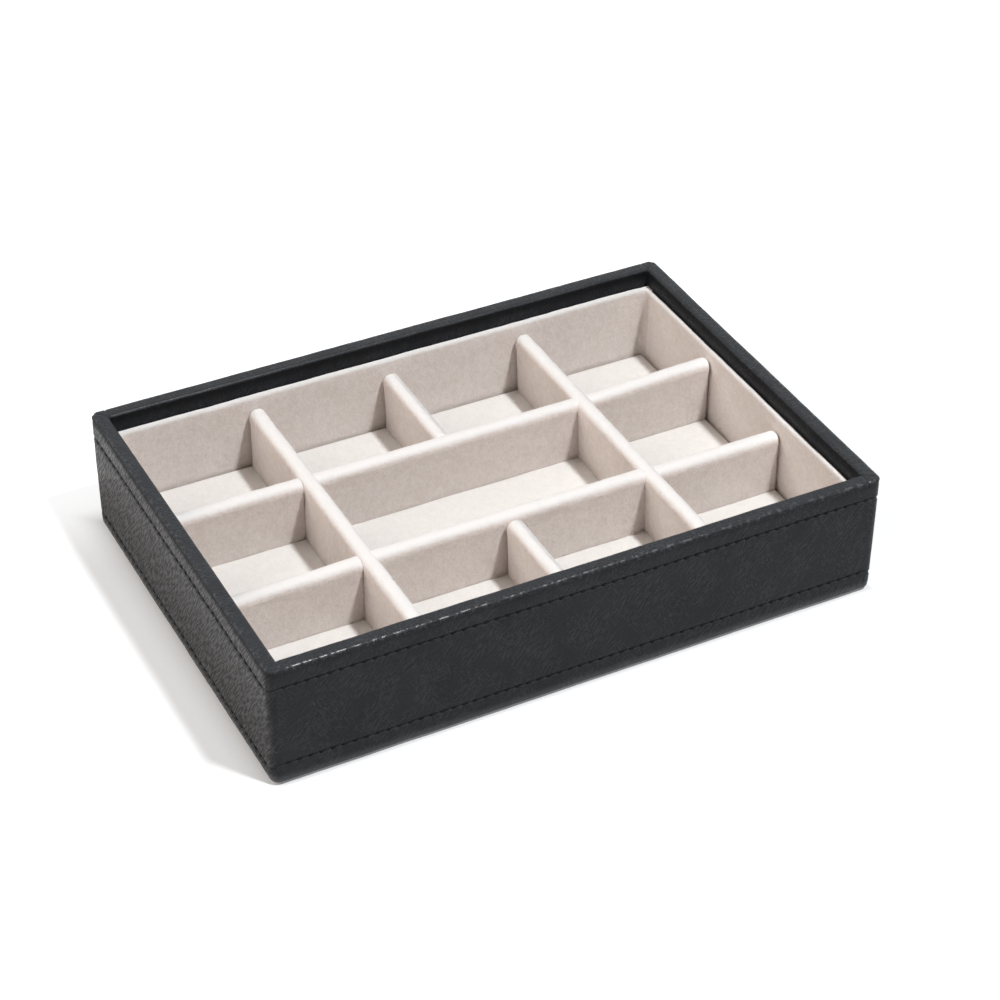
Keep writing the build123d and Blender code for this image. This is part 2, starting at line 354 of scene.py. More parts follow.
def cover_section(sizes):
    """Section of the leather as a closed line of (depth inwards, height): under the base, round the foot edge, up
    the wall with rows crowded at the two sewn lines, over the rim, down inside it, and back along its hidden
    side."""
    low, top = COVER[0, 2], COVER[1, 2]
    foot, outer, inner = sizes.foot_radius, sizes.rim_outer_radius, sizes.rim_inner_radius
    reach, spacing = 1.0 * MM, 0.27 * MM
    lower, upper = (
        LINE_LEVEL[name] + np.arange(min(shifts) * MM - reach, max(shifts) * MM + reach + HAIR, spacing)
        for name, shifts in LINE_SHIFT.items()
    )
    between = [
        np.linspace(low + foot, lower[0] - 0.5 * MM, 5),
        np.linspace(lower[-1] + reach, upper[0] - reach, 8),
        np.linspace(upper[-1] + 0.7 * MM, top - outer - 0.5 * MM, 4),
    ]
    heights = np.concatenate([between[0], lower, between[1], upper, between[2]])
    flap, skin, half = top - sizes.flap_depth, LEATHER, LEATHER / 2
    parts = [
        line((sizes.under_turn, low), (foot, low), 4),
        arc((foot, low + foot), foot, -90, -180, 7),
        np.stack([np.zeros(len(heights)), heights], 1),
        arc((outer, top - outer), outer, 180, 90, 7),
        line((outer, top), (RIM_WIDTH - inner, top), 7),
        arc((RIM_WIDTH - inner, top - inner), inner, 90, 0, 7),
        line((RIM_WIDTH, top - inner), (RIM_WIDTH, flap + half), 4),
        arc((RIM_WIDTH - half, flap + half), half, 0, -180, 4),
        [(RIM_WIDTH - skin, flap + half), (RIM_WIDTH - skin, top - skin), (skin, top - skin)],
        arc((foot, low + foot), foot - skin, -180, -270, 3) * [1, -1] + [0, 2 * (low + foot)],
        [(foot, low + skin)],
        arc((sizes.under_turn, low + half), half, 90, -90, 4),
    ]
    return np.concatenate(parts)


def cover_grid(sizes, thread):
    """Leather cover as a grid: the closed section carried round the plan. The outline at an inward depth is the base
    rectangle, shrunk once the corner radius is used up, and pushed outwards by what is left of that radius. Along
    the section's normal the surface is pulled in at the sewn lines, most at the needle holes, sloped towards them,
    and creased at the corners of the rim, by another strength at each. The wall draws in at the foot."""
    low, top = COVER[0, 2], COVER[1, 2]
    section = cover_section(sizes)
    base, out, walked, phase = cover_columns(sizes, thread)
    tangent = np.roll(section, -1, 0) - np.roll(section, 1, 0)
    tangent /= np.linalg.norm(tangent, axis=1)[:, None]
    inwards, upwards = -tangent[:, 1:], tangent[:, :1]
    depth, height = section[:, :1], section[:, 1:]

    def outline_at(inset):
        least = 0.3 * MM
        used = np.maximum(inset - (sizes.upright_radius - least), 0)
        radius = np.maximum(sizes.upright_radius - inset, least)
        shrink = 1 - used[..., None] / np.abs(base).max(0)
        return base * shrink + out * radius[..., None]

    plan = outline_at(depth + 0 * walked[:-1])
    wall = (depth < HAIR) & (height > low + sizes.foot_radius - HAIR)
    seen = (height > low + 0.2 * MM) & ((depth < 0.5 * LEATHER) | (height > top - 0.5 * LEATHER))
    at_hole, between = bell(np.abs(phase) - HOLE, 0.06), bell(np.abs(phase) - 0.5, 0.07)
    pull = 0.8 + 0.3 * at_hole - 0.35 * between
    bulge = np.zeros(plan.shape[:2])
    aside = out[:, 0] ** 2
    spread = 1 + sizes.groove_spread * aside
    for name in LINE_SHIFT:
        away = height - line_level(name, aside)
        slope = sizes.pillow_depth * np.exp(-np.abs(away) / sizes.pillow_reach)
        groove = sizes.groove_depth * bell(away, sizes.groove_width * spread) * pull * (0.5 + 0.5 * spread)
        pucker = 0.05 * MM * np.cos(2 * math.pi * phase) * bell(np.abs(away) - 0.8 * MM, 0.5 * MM)
        bulge -= wall * (slope + groove + pucker)
    bulge -= wall * 0.10 * MM * bell(height - (top - 1.5 * MM), 0.5 * MM)
    for swing, cell, seed in ((0.06, 11, 3), (0.03, 3.2, 4)):
        bulge += seen * swing * MM * soft_noise(walked[:-1] + 0 * height, height + depth, cell * MM, seed)

    rim = (height > top - 1.2 * MM) & (depth < RIM_WIDTH + HAIR)
    side, end = COVER[1, 1] - np.abs(plan[..., 1]), COVER[1, 0] - np.abs(plan[..., 0])
    strength = np.array([0.8, 1.1, 1.25, 0.9])[(plan[..., 0] > 0) * 2 + (plan[..., 1] > 0)]
    mitre = np.abs(side - end) / math.sqrt(2)
    near = bell(np.maximum(side, end) / (RIM_WIDTH * 1.15), 1.0) ** 2
    fold = 0.10 * MM * bell(mitre - 0.8 * MM, 0.4 * MM) - 0.12 * MM * bell(mitre, 0.3 * MM)
    seam = 0.2 * MM * bell(end - RIM_WIDTH - 0.15 * MM, 0.24 * MM) * (side < RIM_WIDTH)
    bulge += rim * strength * (near * fold - seam)

    foot = np.clip((low + sizes.foot_reach - height) / sizes.foot_reach, 0, 1)
    inset = np.maximum(depth + inwards * bulge, -PROUD) + sizes.foot_lean * foot**2
    points = np.concatenate([outline_at(inset), (height + upwards * bulge)[..., None]], -1)
    chart = np.stack(np.broadcast_arrays(walked[None, :], walked_round(section)[:, None]), -1)
    return points, chart


def stitch_grids(sizes, thread, name):
    """Stitches of one sewn line. Each is a thread of round section along a shallow arch: out of the leather in the
    middle, drawn in and thinned at the two needle holes, and turned by its slant."""
    arch, dip, thinned = 0.12 * MM, 0.22 * MM, 0.65
    step = np.linspace(-1, 1, 7)[:, None]
    turn = np.linspace(0, 2 * math.pi, 8, endpoint=False)[None, :]
    radius = thread.thickness / 2 * (1 - thinned * step**6)
    along, outwards = step * thread.stitch / 2, arch * (1 - step**2) - dip * step**6 + radius * np.cos(turn)
    upwards = radius * np.sin(turn)
    c, s = math.cos(thread.slant), math.sin(thread.slant)
    shape = np.stack([along * c - upwards * s, outwards, along * s + upwards * c], -1)
    grids = []
    for tangent, out, half_run, half_depth in faces_round(COVER[1, :2]):
        axes = np.array([[*tangent, 0], [*out, 0], [0, 0, 1]])
        for place in stitch_places(half_run - sizes.upright_radius, thread.pitch):
            middle = [place, half_depth - thread.depth - arch, line_level(name, out[0] ** 2)]
            grids.append((np.swapaxes((middle + shape) @ axes, 0, 1), True, False, True))
    return grids


def lining_grid(sizes, wall):
    """Velvet of one lining board: an L-shaped section, up the face, round over the top and down behind the card,
    carried along the wall. The face and the top edge waver a little. At the ends of the long walls the face comes
    forward by a quarter circle that rounds the corner."""
    low, high = span(f"{wall}_lining_velvet")
    across = int(wall in ("front", "back"))
    sign = 1 if wall in ("front", "left") else -1
    foot = low[across] if sign > 0 else high[across]
    thick = high[across] - low[across]
    tall = high[2] - low[2] + sizes.lining_lift
    r, over, card = sizes.lining_radius, sizes.lining_over, sizes.card
    back = thick - r - 0.1 * HAIR
    turned = tall - sizes.pile - sizes.lining_lift
    parts = [
        line((thick, 0), (thick, tall - over), 12),
        arc((0, 0), 1, 0, 90, 8) * [r, over] + [thick - r, tall - over],
        arc((thick - back, tall - back), back, 90, 180, 6),
        [(0, tall - back), (0, turned)],
        line((card, turned), (card, 0), 2),
        [(card, 0)],
    ]
    section = np.concatenate(parts)
    ends = ("left", "right") if across else ("front", "back")
    start, end = (span(f"{side}_lining_velvet")[k, 1 - across] for side, k in zip(ends, (1, 0)))
    reach = sizes.corner_radius
    middle = np.linspace(start + reach, end - reach, int((end - start) / (1.4 * MM)))[1:-1]
    curve = reach * (1 - np.cos(np.linspace(0, math.pi / 2, 7)))
    before = [low[1 - across]] if low[1 - across] < start - 0.1 * MM else []
    after = [high[1 - across]] if high[1 - across] > end + 0.1 * MM else []
    run = np.concatenate([before, start + curve, middle, (end - curve)[::-1], after])
    inside = np.clip(np.minimum(run - start, end - run), 0, reach)
    fillet = across * (reach - np.sqrt(reach**2 - (reach - inside) ** 2))
    seed = 20 + WALLS.index(wall)
    depth, height = section[:, :1] + 0 * run, section[:, 1:] + 0 * run
    waver = sizes.wobble * np.clip(height / tall, 0, 1) * soft_noise(run + 0 * depth, height, 9 * MM, seed)
    depth = depth + (section[:, :1] > card + 2 * HAIR) * (waver + fillet)
    top = np.clip((height - tall + 2 * MM) / (2 * MM), 0, 1)
    height = height + top * sizes.wobble * (
        0.9 * soft_noise(run, 0 * run, 7 * MM, seed + 5) + 0.5 * soft_noise(run, 0 * run, 2.2 * MM, seed + 6)
    )
    place = [None, None, low[2] + height]
    place[across], place[1 - across] = foot + sign * depth, run + 0 * depth
    return np.stack(place, -1)


def end_share(depth, radius):
    """Drop of a corner's quarter circle at a depth from its end, as a share of the radius."""
    return 1 - np.sqrt(1 - (1 - np.clip(depth / radius, 0, 1)) ** 2)


def sleeve_grid(sizes, start, end, bottom, top, thick, seed, corner, joints=(False, False), rise=0.0):
    """Velvet sleeve of a run of divider. Its half thickness is the full one, times the rounding over of its ridge,
    shorter and fuller on the far side, times the rounding over of its ends, so both faces meet in a soft line at
    the ridge and at each end. Its top corners are rounded from the side, less so at a joint, its top climbs by a
    rise towards the end, and the whole of it wavers a little."""
    end_full, near_full, far_full = 2.3, 2.15, 2.7
    along = crowded(start, end, sizes.end_plump, 9, 1.3 * MM)
    corners, plump = [corner, corner], [sizes.end_plump, sizes.end_plump]
    if joints[0]:
        corners[0], plump[0] = sizes.joint_tight, sizes.joint_tight
    if joints[1]:
        corners[1], plump[1] = sizes.joint_radius, sizes.joint_plump
    drop = corners[0] * end_share(along - start, corners[0]) + corners[1] * end_share(end - along, corners[1])
    tall = top - bottom
    height = tall - drop + rise * (along - start) / (end - start)
    height = height + sizes.wobble * (
        soft_noise(along, 0 * along, 12 * MM, seed) + 0.5 * soft_noise(along, 0 * along, 3 * MM, seed + 1)
    )
    ridge = sizes.ridge_radius
    below = np.concatenate([ridge * (1 - np.cos(np.linspace(0, math.pi / 2, 12))), np.linspace(ridge, tall, 9)[1:]])
    below = below[::-1, None] * (height / tall)
    ends = round_over(along - start, plump[0], end_full) * round_over(end - along, plump[1], end_full)
    half = thick / 2 + sizes.ridge_plump * bell(below - 0.8 * ridge, 1.8 * MM)
    near = half * round_over(below, ridge, near_full) * ends
    far = (half - sizes.ridge_trim) * round_over(below, sizes.ridge_far, far_full) * ends
    inside = np.clip(below / ridge, 0, 1) * ends
    level = bottom + height - below
    front, back = (
        face + inside * sizes.wobble * soft_noise(along + 0 * below, level, 8 * MM, seed + k)
        for k, face in ((2, near), (3, far))
    )
    side = np.concatenate([-front, back[-2::-1]])
    level = np.concatenate([level, level[-2::-1]])
    return along + 0 * side, side, level


def divider_runs(name):
    """Box of one divider, the axis that it runs along, and where its runs start and end. A cross divider is in
    three runs, between the long dividers that it passes through."""
    low, high = span(f"{name}_velvet")
    axis = int(high[1] - low[1] > high[0] - low[0])
    if not name.startswith("cross"):
        return low, high, axis, [(low[axis], high[axis])]
    cuts = [span(f"long_divider_{side}_velvet")[:, 0] for side in ("left", "right")]
    ends = [low[0], *cuts[0], *cuts[1], high[0]]
    return low, high, axis, list(zip(ends[::2], ends[1::2]))


def divider_grids(sizes, name):
    """Sleeves of one divider, and for a cross divider the lower half that passes through each long one. Where a
    sleeve leans over its card, its face is held out so far that it still covers the card."""
    low, high, axis, runs = divider_runs(name)
    thick = high[1 - axis] - low[1 - axis]
    middle = (high[1 - axis] + low[1 - axis]) / 2
    bottom = low[2] - sizes.sink
    seed = 40 + 7 * DIVIDERS.index(name)
    shift, lean, lifts = STANCE[name]
    corner = sizes.short_end if name.startswith("short") else sizes.end_radius
    shapes = []
    for k, ((start, end), (first, last)) in enumerate(zip(runs, lifts)):
        joints = (k > 0 or name == "short_divider_back", k < len(runs) - 1)
        start -= sizes.joint_lap if joints[0] else sizes.end_press
        end += sizes.joint_press if joints[1] else sizes.end_press
        top, rise = high[2] + first * MM, (last - first) * MM
        shapes.append(sleeve_grid(sizes, start, end, bottom, top, thick, seed + 20 * k, corner, joints, rise))
    lap, slim, blunt, half = 4 * MM, 0.9, 0.9 * MM, (low[2] + high[2]) / 2
    for (_, before), (after, _) in zip(runs[:-1], runs[1:]):
        through = sleeve_grid(sizes, before - lap, after + lap, bottom, half, thick * slim, seed + 90, blunt)
        shapes.append(through)
    core = span(f"{name}_core")
    cover = (core[1, 1 - axis] - core[0, 1 - axis]) / 2 + 0.05 * MM
    grids = []
    for along, side, level in shapes:
        face = np.sign(side)
        side = side + (shift + lean * (level - bottom) / (high[2] - bottom)) * MM
        inside = np.minimum(along - core[0, axis], core[1, axis] - along)
        held = np.clip(inside / (0.3 * MM) + 1, 0, 1) * np.clip((core[1, 2] + 0.6 * MM - level) / (0.5 * MM), 0, 1)
        side = np.where(face, face * np.maximum(face * side, cover * held), side)
        place = [None, None, level]
        place[axis], place[1 - axis] = along, middle + side
        grids.append((np.stack(place, -1), True, False, False))
    return grids


def sheet_plan(node, edge_width, ends, spacing):
    """Box of a node, places over it in plan that are crowded towards its edges, and how far each is inside them."""
    low, high = span(node)
    x, y = np.meshgrid(*(crowded(low[k], high[k], edge_width, ends, spacing) for k in (0, 1)))
    return low, high, x, y, np.minimum.reduce([x - low[0], high[0] - x, y - low[1], high[1] - y])


def closed_sheet(x, y, top, bottom):
    """One grid of an upper and a lower sheet that meet at their edges, the lower one's rows in turned order, so
    that it is closed once it goes round its rows and is welded."""
    return [(np.concatenate([np.stack([x, y, top], -1), np.stack([x, y, bottom], -1)[::-1]]), True, False, False)]


def floor_grids(sizes):
    """Floor pad: a top and a bottom sheet that meet at a seam round the edge. The top rounds over at the walls, and
    sinks under the dividers and beside them by two falling curves of the distance to the nearest."""
    roll = sizes.floor_roll
    low, high, x, y, edge = sheet_plan("floor_velvet", roll, 6, 1.1 * MM)
    nearest = edge
    for name in DIVIDERS:
        foot, head = span(f"{name}_velvet")
        gaps = [np.maximum(np.maximum(foot[k] - v, v - head[k]), 0) for k, v in enumerate((x, y))]
        nearest = np.minimum(nearest, np.hypot(*gaps))
    sunk = 0.22 * MM * np.exp(-nearest / (0.6 * MM)) + 0.15 * MM * np.exp(-nearest / (5 * MM))
    seam = low[2] + 1.9 * MM
    swell = sizes.floor_swell + 0.05 * MM * soft_noise(x, y, 13 * MM, 8)
    top = seam + (high[2] - seam - sunk + swell) * round_over(edge, roll)
    bottom = seam - (seam - low[2]) * round_over(edge, roll * 0.4, 2.5)
    return closed_sheet(x, y, top, bottom)


def felt_grids(sizes):
    """Felt sheet under the base, as an upper and a lower sheet that meet round a thin soft edge. The upper one
    steps up against the base board, inside the turned leather."""
    soft = 0.5 * MM
    low, high, x, y, edge = sheet_plan("underside_sheet", soft, 4, 2.2 * MM)
    half, rounded = COVER[0, 2] / 2, round_over(edge, soft)
    over = sizes.under_turn - (COVER[1, 0] - high[0])
    step = np.clip((edge - over - 0.3 * MM) / (1.2 * MM), 0, 1)
    top = half * (1 + rounded) + (high[2] - 2 * half) * step
    bottom = half * (1 - rounded) + 0.03 * MM * (1 + soft_noise(x, y, 2.5 * MM, 9)) * rounded
    return closed_sheet(x, y, top, bottom)


# ---- Finishes ----


class Signal:
    """An output of a node, with the signs of arithmetic: each adds a Math node."""

    def __init__(self, finish, link):
        self.finish, self.link = finish, link

    def __add__(self, other):
        return self.finish.math("ADD", self, other)

    def __sub__(self, other):
        return self.finish.math("SUBTRACT", self, other)

    def __rsub__(self, other):
        return self.finish.math("SUBTRACT", other, self)

    def __mul__(self, other):
        return self.finish.math("MULTIPLY", self, other)

    def __pow__(self, other):
        return self.finish.math("POWER", self, other)

    def __abs__(self):
        return self.finish.math("ABSOLUTE", self, 0.0)

    __radd__ = __add__
    __rmul__ = __mul__


class Finish:
    """A node material, and the few kinds of node that the finishes are made of."""

    def __init__(self, name, world=None):
        self.material = world or bpy.data.materials.new(name)
        self.material.use_nodes = True
        self.tree = self.material.node_tree
        self.tree.nodes.clear()

    def node(self, kind, settings=None, values=None, output=0):
        """Adds a node of a kind, makes its settings first, then sets or links its sockets. A colour is three
        numbers."""
        made = self.tree.nodes.new(kind)
        for name, value in (settings or {}).items():
            setattr(made, name, value)
        for name, value in (values or {}).items():
            socket = made.inputs[name]
            if isinstance(value, Signal):
                self.tree.links.new(value.link, socket)
            else:
                socket.default_value = (*value, 1.0) if socket.type == "RGBA" else value
        return Signal(self, made.outputs[output])

    def math(self, operation, first, second, clamp=False):
        return self.node("ShaderNodeMath", {"operation": operation, "use_clamp": clamp}, {0: first, 1: second})

    def least(self, first, second):
        return self.math("MINIMUM", first, second)

    def most(self, first, second):
        return self.math("MAXIMUM", first, second)

    def seen(self):
        """1 for what the camera sees, straight or in reflections or through glass, and 0 for light on the tray."""
        rays = ("Is Camera Ray", "Is Glossy Ray", "Is Transmission Ray")
        camera, glossy, through = (self.node("ShaderNodeLightPath", output=name) for name in rays)
        return self.math("ADD", camera, glossy + through, clamp=True)

    def place(self):
        """The point's own place on the tray, in metres."""
        return self.node("ShaderNodeTexCoord", output="Object")

    def part(self, vector, axis):
        return self.node("ShaderNodeSeparateXYZ", {}, {0: vector}, output=axis)

    def facing(self, axis):
        """How far the surface looks along X, Y or Z: that part of its normal, from -1 to 1."""
        return self.part(self.node("ShaderNodeTexCoord", output="Normal"), axis)

    def noise(self, vector, scale, detail=2.0, roughness=0.5):
        values = {"Vector": vector, "Scale": scale, "Detail": detail, "Roughness": roughness}
        return self.node("ShaderNodeTexNoise", {}, values)

    def streaks(self, vector, angle, scale, detail=2.0, roughness=0.5):
        """Noise of so many cells a metre along each axis, the axes turned by an angle about Z."""
        values = {"Vector": vector, "Rotation": (0, 0, angle), "Scale": tuple(1 / s for s in scale)}
        turned = self.node("ShaderNodeMapping", {"vector_type": "TEXTURE"}, values)
        return self.noise(turned, 1.0, detail, roughness)

    def cells(self, vector, scale):
        return self.node("ShaderNodeTexVoronoi", {"feature": "SMOOTH_F1"}, {"Vector": vector, "Scale": scale})

    def between(self, value, low, high):
        """0 under low, 1 over high, and a smooth step between."""
        values = {0: value, 1: low, 2: high, 3: 0.0, 4: 1.0}
        return self.node("ShaderNodeMapRange", {"interpolation_type": "SMOOTHSTEP"}, values)

    def mix(self, factor, first, second):
        """Colour from first to second by a factor."""
        return self.node("ShaderNodeMix", {"data_type": "RGBA"}, {0: factor, 6: first, 7: second}, output=2)

    def bump(self, height, distance):
        return self.node("ShaderNodeBump", {}, {"Height": height, "Distance": distance})

    def surface(self, **values):
        """Principled surface, wired to the output."""
        names = {key.replace("_", " "): value for key, value in values.items()}
        return self.finished(self.node("ShaderNodeBsdfPrincipled", {}, names))

    def finished(self, shader, kind="ShaderNodeOutputMaterial"):
        """Wires a shader to the output."""
        made = self.tree.nodes.new(kind)
        self.tree.links.new(shader.link, made.inputs["Surface"])
        return self.material


def leather_finish(sizes):
    """Dark leather with a cross-hatched grain: two families of fine raised creases that cross at a slant, each in
    patches, over a fine pebble. The left and right faces have one family of slanting ripples instead. The creases
    and the pebble are lighter and burnished on top, and the rim's edge glints in places. The inside bands next to
    the rim, a band under the rim's outer edge and the leather beside the sewn lines are painted darker, as painted
    shade, and are duller. Surfaces that look up and the foot are painted lighter, as painted light and a painted
    reflection of the floor, and the faces that look sideways are painted darker, as painted shade."""
    f = Finish("charcoal_leather")
    chart = f.node("ShaderNodeUVMap", {"uv_map": "cover"})
    low, top = COVER[:, 2]
    place = f.place()
    level = f.part(place, 2)
    depth = f.least(COVER[1, 0] - abs(f.part(place, 0)), COVER[1, 1] - abs(f.part(place, 1)))
    inner = f.between(depth, 2.0 * MM, 3.5 * MM)
    aside = f.facing(0) * f.facing(0) * (1.0 - inner)
    creases = []
    for angle, scale, shown in ((50, (420, 1500, 1), 0.46), (-61, (480, 1700, 1), 0.49)):
        angle = math.radians(angle)
        patch = f.between(f.streaks(chart, angle, (80, 130, 1), 1.0), 0.40, 0.62)
        crease = f.between(f.streaks(chart, angle, scale, 2.0, 0.55), shown, shown + 0.16)
        creases.append(crease * (patch * 0.88 + 0.12))
    ripple = f.between(f.streaks(chart, math.radians(54), (250, 2200, 1), 1.0), 0.43, 0.59)
    hatch = f.math("MAXIMUM", *creases, clamp=True) * (1.0 - aside) + ripple * aside
    pebble = f.cells(chart, 1900.0)
    fine = f.noise(chart, 3600.0, 2.0, 0.6)
    broad = f.noise(chart, 60.0, 3.0, 0.55)
    speck = f.between(fine, 0.52, 0.72)
    flat = f.between(f.facing(2), 0.1, 0.45)
    curved = 1.0 - f.between(f.facing(2), 0.35, 0.95)
    # Painted shade: the inside upright bands just under the rim are painted darker.
    inner_band_shade = f.between(level, top - 5.0 * MM, top - 1.5 * MM) * (1.0 - flat) * inner
    # Painted shade: a band just under the outer edge of the rim is painted darker, more on the sides.
    fold = f.between(level, top - 2.6 * MM, top - 1.4 * MM) * curved * (1.0 - inner)
    edge = 1.0 - f.between(depth + (top - level), 0.7 * MM, 1.7 * MM)
    # Painted reflection: the foot is painted lighter, for the floor that it reflects; it also gets more coat.
    foot = 1.0 - f.between(level, low + 0.6 * MM, low + 3.4 * MM)
    glint = f.between(f.noise(chart, 750.0, 3.0, 0.6), 0.48, 0.60) * (1.0 - aside)
    away = f.least(*(abs(level - line_level(name, aside)) for name in LINE_SHIFT))
    # Painted shade: the leather beside the sewn lines is painted darker, most on the sides.
    seam = (1.0 - f.between(away, 0.4 * MM, 1.1 * MM)) * (aside * 0.8 + 0.1)
    # Painted shade with duller leather: this mask darkens the tone and raises the roughness.
    painted_shade_dull = f.most(inner_band_shade * 0.85, f.most(fold * (aside * 0.3 + 0.3), seam * (1.0 - flat)))
    grain = hatch * (aside * 0.5 + 0.17) + speck * (aside * 0.15 + 0.14) + broad * 0.45
    # Painted light and shade: surfaces that look up are painted lighter, the foot lighter, and faces that look sideways
    # darker.
    grain = grain + flat * 0.29 + foot * 0.5 - aside * 0.12
    # Painted shade: the tone is mixed towards a darker copy of the dark colour by the shade mask above.
    tone = f.mix(painted_shade_dull, f.mix(grain, sizes.dark, sizes.light), [0.4 * c for c in sizes.dark])
    shine = hatch * (aside * 0.27 + 0.18) + speck * 0.25 + 0.04
    coat = shine * (1.0 - edge * 0.7) + foot * 0.45 + edge * glint * 0.8
    return f.surface(
        Base_Color=tone,
        Roughness=0.36 + broad * 0.10 + painted_shade_dull * 0.30,
        Specular_IOR_Level=0.13,
        Coat_Weight=coat * (1.0 - painted_shade_dull),
        Coat_Roughness=0.30,
        Normal=f.bump(hatch * 0.9 + pebble * 0.6 + fine * 0.6, 0.12 * MM),
    )


def thread_finish(thread):
    """Waxed black thread, twisted: slanting stripes of strand with fine fibre over them."""
    f = Finish("waxed_thread")
    place = f.place()
    strand = f.streaks(place, math.radians(35), (900, 5200, 3000), 1.0)
    fibre = f.noise(place, 9000.0)
    return f.surface(
        Base_Color=f.mix(f.between(strand, 0.4, 0.65), thread.dark, [3.0 * c for c in thread.dark]),
        Roughness=0.6 + fibre * 0.2,
        Specular_IOR_Level=0.15,
        Normal=f.bump(strand * 0.7 + fibre * 0.3, 0.05 * MM),
    )


def velvet_finish(name, sizes):
    """Short-pile velvet: fine tufts, small clouds where the pile leans, dimples and broad faint brushing. Where the
    surface looks up, and more so up and to the right, from a height of its normal on, a lighter copy of its
    colours is painted, as painted light. Upright faces are painted lighter towards the top of the tray, and those
    that look sideways by a factor more, as painted light."""
    f = Finish(name)
    painted_top_tone, painted_top_from, side = VELVETS[name]
    place = f.place()
    tuft = f.noise(place, 3000.0, 2.0, 0.6)
    cloud = f.noise(place, 1300.0, 2.0, 0.6)
    dimple = f.noise(place, 480.0, 3.0, 0.6)
    brushed = f.streaks(place, 0.6, (120, 120, 60))
    lean = f.between(tuft * 0.3 + cloud * 0.3 + dimple * 0.3 + brushed * 0.1, 0.40, 0.60)
    # Painted highlight: mask of surfaces that look up, more so up and to the right, where the lighter copy is painted.
    painted_crest = f.between(f.facing(2) * (f.most(f.facing(0), 0.0) + 1.0), painted_top_from, painted_top_from + 0.5)
    # Painted light: upright faces are painted lighter towards the top of the tray, and faces that look sideways lighter
    # by a factor.
    height = f.between(f.part(place, 2), 0.26 * COVER[1, 2], 0.90 * COVER[1, 2])
    aside = f.facing(0) * f.facing(0)
    lighter = (height * 0.22 + 0.89) * (aside * (side - 1.0) + 1.0)
    pile = f.node("ShaderNodeVectorMath", {"operation": "SCALE"}, {0: f.mix(lean, sizes.dark, sizes.light), 3: lighter})
    # Painted light: the lighter copy of the velvet's colours for tops, ridges and the floor.
    painted_lit_pile = f.mix(lean, getattr(sizes, f"{painted_top_tone}_dark"), getattr(sizes, f"{painted_top_tone}_light"))
    return f.surface(
        Base_Color=f.mix(painted_crest, pile, painted_lit_pile),
        Roughness=0.85 + tuft * 0.1,
        Specular_IOR_Level=0.15,
        Sheen_Weight=0.2,
        Sheen_Roughness=0.5,
        Sheen_Tint=(1.0, 0.97, 0.94),
        Normal=f.bump(tuft * 0.35 + cloud * 0.6 + dimple * 2.0, 0.16 * MM),
    )


def fibre_finish(name):
    """Pressed fibre, such as board, card or felt: short crossing fibres and darker specks."""
    f = Finish(name)
    light, dark, scale, roughness, depth = FIBRES[name]
    place = f.place()
    one = f.streaks(place, 0.5, (scale, scale * 5, scale * 3))
    two = f.streaks(place, -0.7, (scale * 5, scale, scale * 3))
    speck = f.between(f.cells(place, scale * 2.0), 0.05, 0.3)
    crossed = one * 0.5 + two * 0.5
    return f.surface(
        Base_Color=f.mix(f.between(crossed, 0.35, 0.65) * (speck * 0.4 + 0.6), dark, light),
        Roughness=roughness + (one - 0.5) * 0.1,
        Specular_IOR_Level=0.2,
        Normal=f.bump(crossed, depth),
    )


def foam_finish():
    """Open-cell foam: rounded pores of two sizes."""
    f = Finish("floor_foam")
    place = f.place()
    pore = f.cells(place, 1400.0)
    small = f.cells(place, 3600.0)
    tone = f.mix(f.between(pore * 0.7 + small * 0.3, 0.1, 0.6), (0.45, 0.43, 0.40), (0.72, 0.70, 0.66))
    return f.surface(Base_Color=tone, Roughness=0.9 + small * 0.05, Normal=f.bump(pore + small * 0.4, 0.2 * MM))


def floor_finish(stage):
    """Pale studio floor, seen white by the camera and in reflections. For the camera the tray's shadow is lightened,
    least close beside the tray and more towards the back, and it is kept near the tray. The tray itself is lit by a
    pale grey."""
    f = Finish("studio_floor")
    place = f.place()
    x, y = f.part(place, 0), f.part(place, 1)
    mottle = f.noise(place, 300.0, 3.0) * 0.01
    plain = f.node("ShaderNodeBsdfDiffuse", {}, {"Color": f.mix(mottle, [stage.floor] * 3, [0.7] * 3)})
    white = f.node("ShaderNodeBsdfDiffuse", {}, {"Color": (0.97, 0.985, 1.0)})
    camera = f.node("ShaderNodeLightPath", output="Is Camera Ray")
    glow_tone = f.mix(camera, [0.79] * 3, (0.96, 0.985, 1.0))
    glow = f.node("ShaderNodeEmission", {}, {"Color": glow_tone, "Strength": 1.7})
    away = f.most(abs(x) - COVER[1, 0], abs(y) - COVER[1, 1])
    lit_side = f.most(x - COVER[1, 0], COVER[0, 1] - y)
    beside = f.most(f.between(away, 0.0, 8 * MM) ** 0.4, f.between(lit_side, 0.0, 0.5 * MM))
    backwards = f.between(y, 38 * MM, 80 * MM) * 0.2
    lift = camera * (backwards + stage.shadow_lift) * (beside * 0.6 + 0.4)
    distance = f.node("ShaderNodeVectorMath", {"operation": "LENGTH"}, {0: place}, output="Value")
    lifted = f.between(distance, 0.17, 0.30) * (1.0 - lift) + lift
    shown = f.node("ShaderNodeMixShader", {}, {0: lifted, 1: white, 2: glow})
    return f.finished(f.node("ShaderNodeMixShader", {}, {0: f.seen(), 1: plain, 2: shown}))


def world_finish(stage):
    """Faint warm light from all round, seen as white by the camera and in reflections."""
    world = bpy.data.worlds.new("studio")
    bpy.context.scene.world = world
    f = Finish("studio", world)
    warm = f.node("ShaderNodeBackground", {}, {"Color": (1.0, 0.66, 0.48), "Strength": stage.fill})
    white = f.node("ShaderNodeBackground", {}, {"Color": (1.0, 1.0, 1.0), "Strength": 1.0})
    f.finished(f.node("ShaderNodeMixShader", {}, {0: f.seen(), 1: warm, 2: white}), "ShaderNodeOutputWorld")


# ---- Pieces ----


